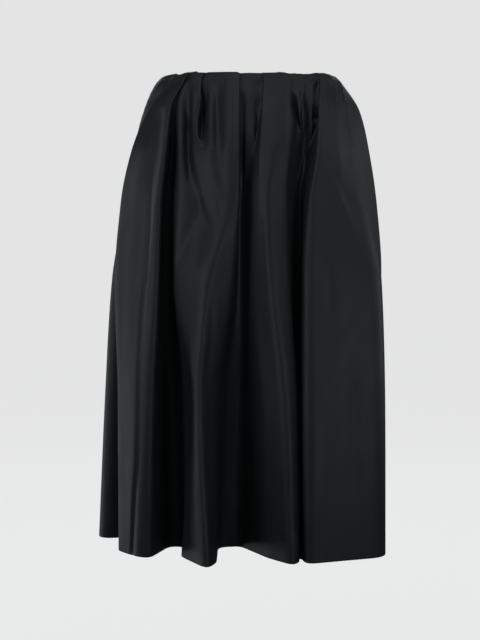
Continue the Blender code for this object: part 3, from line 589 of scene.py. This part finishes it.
def sewn_panel(name, first, last, first_gap, last_gap, finish):
    """One panel of the skirt, as a thin shell with its edges turned in, and the points of its outside."""
    outside, lengths = panel_face(first, last, first_gap, last_gap)
    outside = finished_waist(puckered(creased(outside), lengths), lengths)
    grid, lengths, heights = turned_in(outside, lengths)
    rows, columns = grid.shape[:2]
    shape = bmesh.new()
    bmesh.ops.create_grid(shape, x_segments=columns - 1, y_segments=rows - 1, size=1)
    shape.verts.ensure_lookup_table()
    for vert, place in zip(shape.verts, grid.reshape(-1, 3)):
        vert.co = Vector(place) * MM
    bmesh.ops.reverse_faces(shape, faces=shape.faces)
    cut = shape.loops.layers.uv.new("cut")
    flat = np.dstack([lengths, np.repeat(heights[:, None], columns, axis=1)]).reshape(-1, 2) * MM
    for face in shape.faces:
        for corner in face.loops:
            corner[cut].uv = flat[corner.vert.index]
    panel = as_object(name, shape, finish)
    wall = panel.modifiers.new("Cloth", "SOLIDIFY")
    wall.thickness = CLOTH * MM
    wall.offset = 0
    return panel, outside


BLACK_LOW, BLACK_HIGH = (0.0076, 0.0088, 0.0100), (0.0094, 0.0106, 0.0118)
SATIN_ROUGH = (0.45, 0.51)
# Noise of each kind, so many to the metre across and along the cut.
FLOATS, FILLING = (2200, 90), (160, 1500)
DYE_CLOUDS, HANDLING, WAVES = (30, 14), (45, 16), (38, 11)
THREAD_DEEP, WAVE_DEEP = 0.012, 0.35
NOISE_SPAN = (0.3, 0.7)  # where most of a noise's values lie
FLOAT_ROUGH = 0.02


def new_finish(name):
    """A new material, with its nodes, its links and its surface."""
    made = bpy.data.materials.new(name)
    made.use_nodes = True
    nodes, links = made.node_tree.nodes, made.node_tree.links
    return made, nodes, links, nodes["Principled BSDF"]


def satin():
    """Black duchesse satin: a dense smooth face whose long floats give it a broad soft sheen."""
    made, nodes, links, surface = new_finish("black_satin")
    surface.inputs["Specular IOR Level"].default_value = 0.4
    surface.inputs["Anisotropic"].default_value = 0.6
    cut = nodes.new("ShaderNodeUVMap")
    cut.uv_map = "cut"

    def grain(name, scale, detail):
        """Noise over the cut cloth, so many to the metre across and along it."""
        stretch = nodes.new("ShaderNodeMapping")
        stretch.name = name
        stretch.inputs["Scale"].default_value = (*scale, 1)
        noise = nodes.new("ShaderNodeTexNoise")
        noise.inputs["Scale"].default_value = 1
        noise.inputs["Detail"].default_value = detail
        links.new(cut.outputs["UV"], stretch.inputs["Vector"])
        links.new(stretch.outputs["Vector"], noise.inputs["Vector"])
        return noise.outputs["Fac"]

    def spread_over(value, low, high):
        """The same value, brought between two others."""
        between = nodes.new("ShaderNodeMapRange")
        between.inputs["From Min"].default_value, between.inputs["From Max"].default_value = NOISE_SPAN
        between.inputs["To Min"].default_value, between.inputs["To Max"].default_value = low, high
        links.new(value, between.inputs["Value"])
        return between.outputs["Result"]

    float_threads = grain("float_threads", FLOATS, 2)
    filling = grain("filling", FILLING, 2)
    dye = nodes.new("ShaderNodeMix")
    dye.data_type = "RGBA"
    dye.inputs["A"].default_value, dye.inputs["B"].default_value = (*BLACK_LOW, 1), (*BLACK_HIGH, 1)
    links.new(spread_over(grain("dye", DYE_CLOUDS, 3), 0, 1), dye.inputs["Factor"])
    links.new(dye.outputs["Result"], surface.inputs["Base Color"])
    rough = nodes.new("ShaderNodeMath")
    rough.operation = "ADD"
    links.new(spread_over(grain("handling", HANDLING, 3), *SATIN_ROUGH), rough.inputs[0])
    links.new(spread_over(float_threads, -FLOAT_ROUGH, FLOAT_ROUGH), rough.inputs[1])
    links.new(rough.outputs["Value"], surface.inputs["Roughness"])
    waves = nodes.new("ShaderNodeBump")
    waves.inputs["Strength"].default_value = 1
    waves.inputs["Distance"].default_value = WAVE_DEEP * MM
    links.new(grain("waves", WAVES, 2), waves.inputs["Height"])
    woven = nodes.new("ShaderNodeMath")
    woven.operation = "ADD"
    links.new(float_threads, woven.inputs[0])
    links.new(filling, woven.inputs[1])
    weave = nodes.new("ShaderNodeBump")
    weave.inputs["Strength"].default_value = 1
    weave.inputs["Distance"].default_value = THREAD_DEEP * MM
    links.new(woven.outputs["Value"], weave.inputs["Height"])
    links.new(waves.outputs["Normal"], weave.inputs["Normal"])
    links.new(weave.outputs["Normal"], surface.inputs["Normal"])
    floats = nodes.new("ShaderNodeTangent")
    floats.direction_type = "UV_MAP"
    floats.uv_map = "cut"
    links.new(floats.outputs["Tangent"], surface.inputs["Tangent"])
    return made


satin_finish = satin()
front_panel, front_outside = sewn_panel(
    "satin_front", "right_seam", "left_seam", side_gap, side_gap, satin_finish
)
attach(front_panel, "skirt")
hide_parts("front_panel")


# ------------------------------------------------------------------ Back panels
# The back is two flared pieces of the same satin, pleated like the front. They are sewn together down
# the middle below the zip, and to the front at the sides.

back_left, left_outside = sewn_panel(
    "satin_back_left", "left_seam", "centre_back", side_gap, zip_gap, satin_finish
)
back_right, right_outside = sewn_panel(
    "satin_back_right", "centre_back", "right_seam", zip_gap, side_gap, satin_finish
)
for panel, node in ((back_left, "back_left_panel"), (back_right, "back_right_panel")):
    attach(panel, "skirt")
    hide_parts(node)


# ------------------------------------------------------------------ Waist stitching
# Two rows of black polyester thread run right round the waist edge, 3.8 mm apart. They are sewn through
# every layer of the pleats and hold them folded.

STITCH_LENGTH, STITCH_PITCH = 2.5, 3.2
THREAD_HIGH, THREAD_PROUD = 0.4, 0.34
BEAD_SIDES, BEAD_RINGS = 6, 4
WAIST_SLOTS = 720  # directions round the waist that the outermost cloth is looked for in
FINE_STEP = 0.4


def along_edge(line):
    """The length along a line in space up to each of its points."""
    return np.concatenate([[0], np.cumsum(np.linalg.norm(np.diff(line, axis=0), axis=1))])


def outermost(down):
    """The outermost cloth round the waist at one of the panels' rows, as points in order round it."""
    row = int(np.abs(ROWS - down).argmin())
    fine = []
    for outside in (front_outside, left_outside, right_outside):
        line = outside[row]
        along = along_edge(line)
        at = np.arange(0, along[-1], FINE_STEP)
        fine.append(on_line(at, along, line))
    points = np.vstack(fine)
    slots = ((np.arctan2(points[:, 1], points[:, 0]) / (2 * math.pi) + 0.5) * WAIST_SLOTS).astype(int)
    by_reach = np.lexsort((np.hypot(points[:, 0], points[:, 1]), slots))
    farthest = by_reach[np.append(np.diff(slots[by_reach]) > 0, True)]
    return points[farthest]


def beads(places):
    """One bmesh with a bead at each place, turned and sized by that place's matrix."""
    one = bmesh.new()
    bmesh.ops.create_uvsphere(one, u_segments=BEAD_SIDES, v_segments=BEAD_RINGS, radius=1)
    bead = bpy.data.meshes.new("bead")
    shape = bmesh.new()
    for place in places:
        one.to_mesh(bead)
        bead.transform(place)
        shape.from_mesh(bead)
    one.free()
    bpy.data.meshes.remove(bead)
    return shape


def stitch_places(down):
    """Where one row's stitches lie, each a flattened bead of thread along the cloth."""
    line = outermost(down)
    line = np.vstack([line, line[:1]])
    along = along_edge(line)
    count = int(along[-1] / STITCH_PITCH)
    places = []
    for start in np.arange(count) * along[-1] / count:
        first, last = (Vector(on_line(at, along, line)) for at in (start, start + STITCH_LENGTH))
        run = (last - first).normalized()
        out = run.cross(Vector((0, 0, 1))).normalized()
        middle = (first + last) / 2 + out * (CLOTH / 2 + THREAD_PROUD / 4)
        turn = Matrix(((*out.cross(run), 0), (*out, 0), (*run, 0), (0, 0, 0, 1))).transposed()
        size = Matrix.Diagonal((THREAD_HIGH / 2, THREAD_PROUD / 2, (last - first).length / 2, 1))
        places.append(Matrix.Scale(MM, 4) @ Matrix.Translation(middle) @ turn @ size)
    return places


def thread():
    """Black polyester thread, two plies twisted together."""
    made, nodes, links, surface = new_finish("black_thread")
    # The thread is black, but its base colour is set lighter than that as a painted highlight, so that the
    # stitches show as faint light dashes where real thread would catch the light.
    surface.inputs["Base Color"].default_value = (0.05, 0.055, 0.06, 1)
    surface.inputs["Roughness"].default_value = 0.4
    surface.inputs["Sheen Weight"].default_value = 0.3
    places = nodes.new("ShaderNodeTexCoord")
    plies = nodes.new("ShaderNodeTexWave")
    plies.bands_direction = "DIAGONAL"
    plies.inputs["Scale"].default_value = 620
    twist = nodes.new("ShaderNodeBump")
    twist.inputs["Distance"].default_value = 0.05 * MM
    links.new(places.outputs["Object"], plies.inputs["Vector"])
    links.new(plies.outputs["Fac"], twist.inputs["Height"])
    links.new(twist.outputs["Normal"], surface.inputs["Normal"])
    return made


def linked(name, shape, finish, body):
    """A finished piece from its bmesh, which rides on a body."""
    piece = as_object(name, shape, finish)
    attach(piece, body)
    return piece


stitches = [place for down in STITCH_DOWNS for place in stitch_places(down)]
waist_stitches = linked("waist_stitches", beads(stitches), thread(), "skirt")


# ------------------------------------------------------------------ Concealed zip
# A concealed zip closes the top of the back seam. Two woven polyester tapes lie behind the cloth's edges,
# each with a row of nylon coil teeth, and a black enamelled slider draws them together.

ZIP_TOP, COIL_BOTTOM, ZIP_BOTTOM = 3.0, 217.0, 226.0
# Each tape's edges lie this far off the seam: the outer one, and the inner one at the slider and below it.
TAPE_HALF, TAPE_PARTED, TAPE_MET = 11.0, 3.4, 0.35
TAPE_DEEP, TAPE_THICK = 1.6, 0.55  # the tape's middle lies this far behind the cloth's
SLIDER_BOTTOM, TAPES_MEET = 20.0, 24.0
TAPE_COLUMNS = 6
TOOTH_PITCH, TOOTH_LONG, TOOTH_HIGH, TOOTH_THICK = 1.25, 2.6, 0.62, 0.8
TEETH_TOP, TEETH_OVER_SLIDER = 4.5, 9.5
STOP_SIZE, STOP_BELOW, STOP_ROUND = (5.0, 1.5, 3.2), 2, 0.4
# On the slider and its tab, points this near and faces this level are one, and sharper edges are rounded.
SAME_POINT, LEVEL_FACES, SHARP_EDGE = 0.01, math.radians(1), math.radians(35)
EDGE_ROUND = 0.14
BACK_LINES = [NAMES.index(name) for name in ("zip_right", "centre_back", "zip_left")]
BACK_CLOTH = np.array([on_line(marks[BACK_LINES], along, points) for points, along, marks in SECTIONS])


def inside_seam(across, down, deep):
    """A point inside the back seam, this deep behind the middle of the cloth."""
    at_rows = [np.interp(across, row[:, 0], row[:, 1]) for row in BACK_CLOTH]
    return Vector((across, np.interp(down, ROWS, at_rows) - deep, TOP_EDGE - down)) * MM


def inner_edge(down):
    """How far off the seam a tape's inner edge lies."""
    closing = smooth_step((down - SLIDER_BOTTOM) / (TAPES_MEET - SLIDER_BOTTOM))
    return TAPE_PARTED + (TAPE_MET - TAPE_PARTED) * closing


def woven_tape(shape, side):
    """One of the two tapes, as a strip of faces."""
    downs = sorted({ZIP_TOP, ZIP_BOTTOM, *(down for down in ROWS if ZIP_TOP < down < ZIP_BOTTOM)})
    made = bmesh.ops.create_grid(shape, x_segments=TAPE_COLUMNS, y_segments=len(downs) - 1, size=1)["verts"]
    for i, vert in enumerate(made):
        down, share = downs[i // (TAPE_COLUMNS + 1)], i % (TAPE_COLUMNS + 1) / TAPE_COLUMNS
        edge = inner_edge(down)
        vert.co = inside_seam(side * (edge + (TAPE_HALF - edge) * share), down, TAPE_DEEP)


def coil_turn(across, down):
    """Where one turn of the nylon coil lies, as a bead across the tape's edge."""
    middle = inside_seam(across, down, TAPE_DEEP + TAPE_THICK / 2 + TOOTH_THICK / 3)
    return Matrix.Translation(middle) @ Matrix.Diagonal(
        (TOOTH_LONG / 2 * MM, TOOTH_THICK / 2 * MM, TOOTH_HIGH / 2 * MM, 1)
    )


def coloured(name, colour, roughness, metallic, pattern, scale, deep):
    """A plain finish with a fine relief over it from a wave or noise in the piece's own place."""
    made, nodes, links, surface = new_finish(name)
    surface.inputs["Base Color"].default_value = (*colour, 1)
    surface.inputs["Metallic"].default_value = metallic
    places = nodes.new("ShaderNodeTexCoord")
    stretch = nodes.new("ShaderNodeMapping")
    stretch.inputs["Scale"].default_value = scale
    relief = nodes.new(pattern)
    relief.inputs["Scale"].default_value = 1
    bump = nodes.new("ShaderNodeBump")
    bump.inputs["Distance"].default_value = deep * MM
    wear = nodes.new("ShaderNodeMapRange")
    wear.inputs["To Min"].default_value, wear.inputs["To Max"].default_value = roughness
    links.new(places.outputs["Object"], stretch.inputs["Vector"])
    links.new(stretch.outputs["Vector"], relief.inputs["Vector"])
    links.new(relief.outputs["Fac"], bump.inputs["Height"])
    links.new(relief.outputs["Fac"], wear.inputs["Value"])
    links.new(wear.outputs["Result"], surface.inputs["Roughness"])
    links.new(bump.outputs["Normal"], surface.inputs["Normal"])
    return made


tape_finish = coloured(
    "woven_tape", (0.012, 0.013, 0.014), (0.7, 0.9), 0, "ShaderNodeTexWave", (500, 200, 900), 0.08
)
nylon_finish = coloured(
    "black_nylon", (0.01, 0.011, 0.012), (0.32, 0.45), 0, "ShaderNodeTexNoise", (700, 700, 700), 0.02
)
enamel_finish = coloured(
    "black_enamel", (0.03, 0.032, 0.034), (0.26, 0.42), 1, "ShaderNodeTexNoise", (900, 900, 260), 0.01
)

tape_shape = bmesh.new()
for side in (-1, 1):
    woven_tape(tape_shape, side)
bmesh.ops.recalc_face_normals(tape_shape, faces=tape_shape.faces)
zip_tapes = linked("zip_tapes", tape_shape, tape_finish, "skirt")
tape_wall = zip_tapes.modifiers.new("Tape", "SOLIDIFY")
tape_wall.thickness = TAPE_THICK * MM
tape_wall.offset = 0
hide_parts("zip_tape")

turns = []
for half_pitch, side in enumerate((-1, 1)):
    start = TEETH_TOP + half_pitch * TOOTH_PITCH / 2
    for down in np.arange(start, COIL_BOTTOM, TOOTH_PITCH):
        if TEETH_OVER_SLIDER < down < TAPES_MEET:
            continue
        turns.append(coil_turn(side * (inner_edge(down) + TOOTH_LONG / 4), down))
zip_teeth = linked("zip_teeth", beads(turns), nylon_finish, "skirt")

stop_shape = bmesh.new()
stop_middle = inside_seam(0, COIL_BOTTOM + STOP_BELOW, TAPE_DEEP + TAPE_THICK)
stop_place = Matrix.Translation(stop_middle) @ Matrix.Diagonal((*(side * MM for side in STOP_SIZE), 1))
bmesh.ops.create_cube(stop_shape, size=1, matrix=stop_place)
bmesh.ops.bevel(
    stop_shape, geom=stop_shape.edges[:], offset=STOP_ROUND * MM, segments=2,
    profile=0.5, affect="EDGES", material=-1,
)
zip_stop = linked("zip_stop", stop_shape, enamel_finish, "skirt")


def rounded_copy(node, name, body):
    """A CAD node's own form with its edges rounded."""
    shape = bmesh.new()
    shape.from_mesh(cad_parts[node].data)
    bmesh.ops.remove_doubles(shape, verts=shape.verts, dist=SAME_POINT * MM)
    bmesh.ops.dissolve_limit(shape, angle_limit=LEVEL_FACES, verts=shape.verts, edges=shape.edges)
    piece = linked(name, shape, enamel_finish, body)
    edge = piece.modifiers.new("Rounded", "BEVEL")
    edge.width = EDGE_ROUND * MM
    edge.segments = 2
    edge.limit_method = "ANGLE"
    edge.angle_limit = SHARP_EDGE
    edge.harden_normals = True
    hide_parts(node)


rounded_copy("zip_slider", "slider", "skirt")
rounded_copy("zip_pull", "pull_tab", "pull")


# ------------------------------------------------------------------ Studio
# A pale seamless paper floor that turns up into a wall all round, lit by large soft boxes whose
# light the paper itself doesn't throw back on the black cloth.

FLOOR_DOWN = -1.15
ROOM_RADIUS, ROOM_TOP, ROOM_TURN = 4.6, 4.2, 1.6
TURN_STEPS = 12
ROOM_SIDES = 64
ROOM_WELD = 0.0001
PAPER_GLOW = 0.76


def paper_room():
    """The paper: a profile from the floor's middle up the wall, spun right round."""
    shape = bmesh.new()
    profile = [(0.0, FLOOR_DOWN)]
    for i in range(TURN_STEPS + 1):
        angle = math.pi / 2 * i / TURN_STEPS
        out = ROOM_RADIUS - ROOM_TURN + ROOM_TURN * math.sin(angle)
        profile.append((out, FLOOR_DOWN + ROOM_TURN * (1 - math.cos(angle))))
    profile.append((ROOM_RADIUS, ROOM_TOP))
    verts = [shape.verts.new((out, 0, up)) for out, up in profile]
    edges = [shape.edges.new(pair) for pair in zip(verts, verts[1:])]
    bmesh.ops.spin(
        shape, geom=verts + edges, cent=(0, 0, 0), axis=(0, 0, 1), angle=2 * math.pi,
        steps=ROOM_SIDES, use_merge=True,
    )
    bmesh.ops.remove_doubles(shape, verts=shape.verts, dist=ROOM_WELD)
    bmesh.ops.recalc_face_normals(shape, faces=shape.faces)
    paper, _nodes, _links, surface = new_finish("paper")
    surface.inputs["Base Color"].default_value = (0.1, 0.1, 0.1, 1)
    surface.inputs["Roughness"].default_value = 0.9
    surface.inputs["Specular IOR Level"].default_value = 0
    surface.inputs["Emission Color"].default_value = (1, 1, 1, 1)
    surface.inputs["Emission Strength"].default_value = PAPER_GLOW
    made = as_object("paper_room", shape, paper)
    made.visible_glossy = False
    made.visible_diffuse = False
    made.visible_shadow = False


paper_room()


MIDDLE = Vector((0, 0, -0.38))
LIGHT_AWAY = 2.8
LIGHT_COLOUR = (0.86, 0.95, 1)
SKY_COLOUR, SKY_STRENGTH = (0.9, 0.95, 1, 1), 0.05
# The first eight started from a fit to the photo's brightness. The powers of front_high and overhead are
# still as it gave them, and those of left_high and right_front are sums of two of its own.
SOFT_BOXES = (
    # name, degrees round from the front, degrees up, width, height, power
    ("left_side", -109, -2, 1.0, 2.4, 18),
    ("left_front", -52, 8, 0.9, 1.7, 13),
    ("left_high", -33, 42, 0.9, 1.6, 7.5),
    ("front_high", 10, 42, 0.9, 1.6, 5.5),
    ("right_front", 36, 3, 1.0, 1.7, 9.7),
    ("right_high", 70, 42, 0.9, 1.6, 6),
    ("right_side", 103, 9, 1.0, 1.7, 10),
    ("overhead", 0, 78, 0.9, 1.6, 6.6),
    ("back_high", 180, 45, 2.4, 1.6, 30),
    ("back_left", -152, 30, 1.2, 1.6, 5),
    ("back_right", 152, 30, 1.2, 1.6, 5),
)


def soft_box(name, azimuth, elevation, width, height, power):
    """A large rectangular soft light that faces the skirt's middle."""
    data = bpy.data.lights.new(name, "AREA")
    data.shape = "RECTANGLE"
    data.size, data.size_y, data.energy = width, height, power
    data.color = LIGHT_COLOUR
    across, up = math.radians(azimuth), math.radians(elevation)
    way = Vector((math.sin(across) * math.cos(up), -math.cos(across) * math.cos(up), math.sin(up)))
    lamp = bpy.data.objects.new(name, data)
    lamp.location = MIDDLE + way * LIGHT_AWAY
    lamp.rotation_euler = (-way).to_track_quat("-Z", "Y").to_euler()
    lamp.visible_camera = False
    bpy.context.scene.collection.objects.link(lamp)


for row in SOFT_BOXES:
    soft_box(*row)

world = bpy.data.worlds.new("studio")
bpy.context.scene.world = world
world.use_nodes = True
world.node_tree.nodes["Background"].inputs["Color"].default_value = SKY_COLOUR
world.node_tree.nodes["Background"].inputs["Strength"].default_value = SKY_STRENGTH
bpy.context.scene.view_settings.view_transform = "Standard"

# The camera stands 2.2 m in front, about level with the seat, and looks down by 4.9 degrees.
CAMERA_ACROSS, CAMERA_BACK, CAMERA_DOWN, CAMERA_TILT = -0.0158, 2.2, 227.5, 4.9
IMAGE_LONG_SIDE = 640
FOCAL_PIXELS = 1268
SENSOR = 36
camera_data = bpy.data.cameras.new("camera")
camera_data.sensor_fit = "AUTO"
camera_data.sensor_width = SENSOR
camera_data.lens = FOCAL_PIXELS * SENSOR / IMAGE_LONG_SIDE
camera = bpy.data.objects.new("camera", camera_data)
camera.location = (CAMERA_ACROSS, -CAMERA_BACK, (TOP_EDGE - CAMERA_DOWN) * MM)
camera.rotation_euler = (math.radians(90 - CAMERA_TILT), 0, 0)
bpy.context.scene.collection.objects.link(camera)
bpy.context.scene.camera = camera
